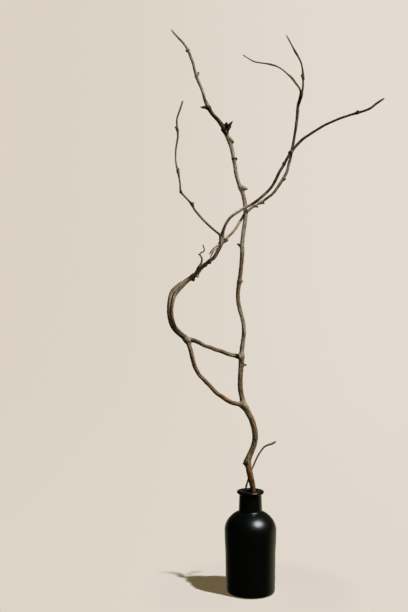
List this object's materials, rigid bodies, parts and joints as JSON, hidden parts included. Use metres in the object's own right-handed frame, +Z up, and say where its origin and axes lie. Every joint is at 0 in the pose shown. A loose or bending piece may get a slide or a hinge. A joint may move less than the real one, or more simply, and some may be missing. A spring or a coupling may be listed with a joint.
{
  "type": "dry branch in a bottle vase",
  "caption": "Bare crooked dry branch with long forked shoots, standing with a thin side twig in a small black glass bottle.",
  "frame": {"origin": "centre of the bottle's flat underside", "axes": "+Z up along the bottle's axis, -Y towards the front, +X to the right seen from the front"},
  "size_m": [0.2767, 0.0842, 0.7075],
  "materials": {
    "black_glass": "satin black, opaque",
    "bark": "dry streaked grey-brown bark",
    "twig_bark": "dry dark brown bark"
  },
  "bodies": {
    "root": {"bottle": "black_glass", "branch": "bark", "side_twig": "twig_bark"}
  },
  "joints": []
}
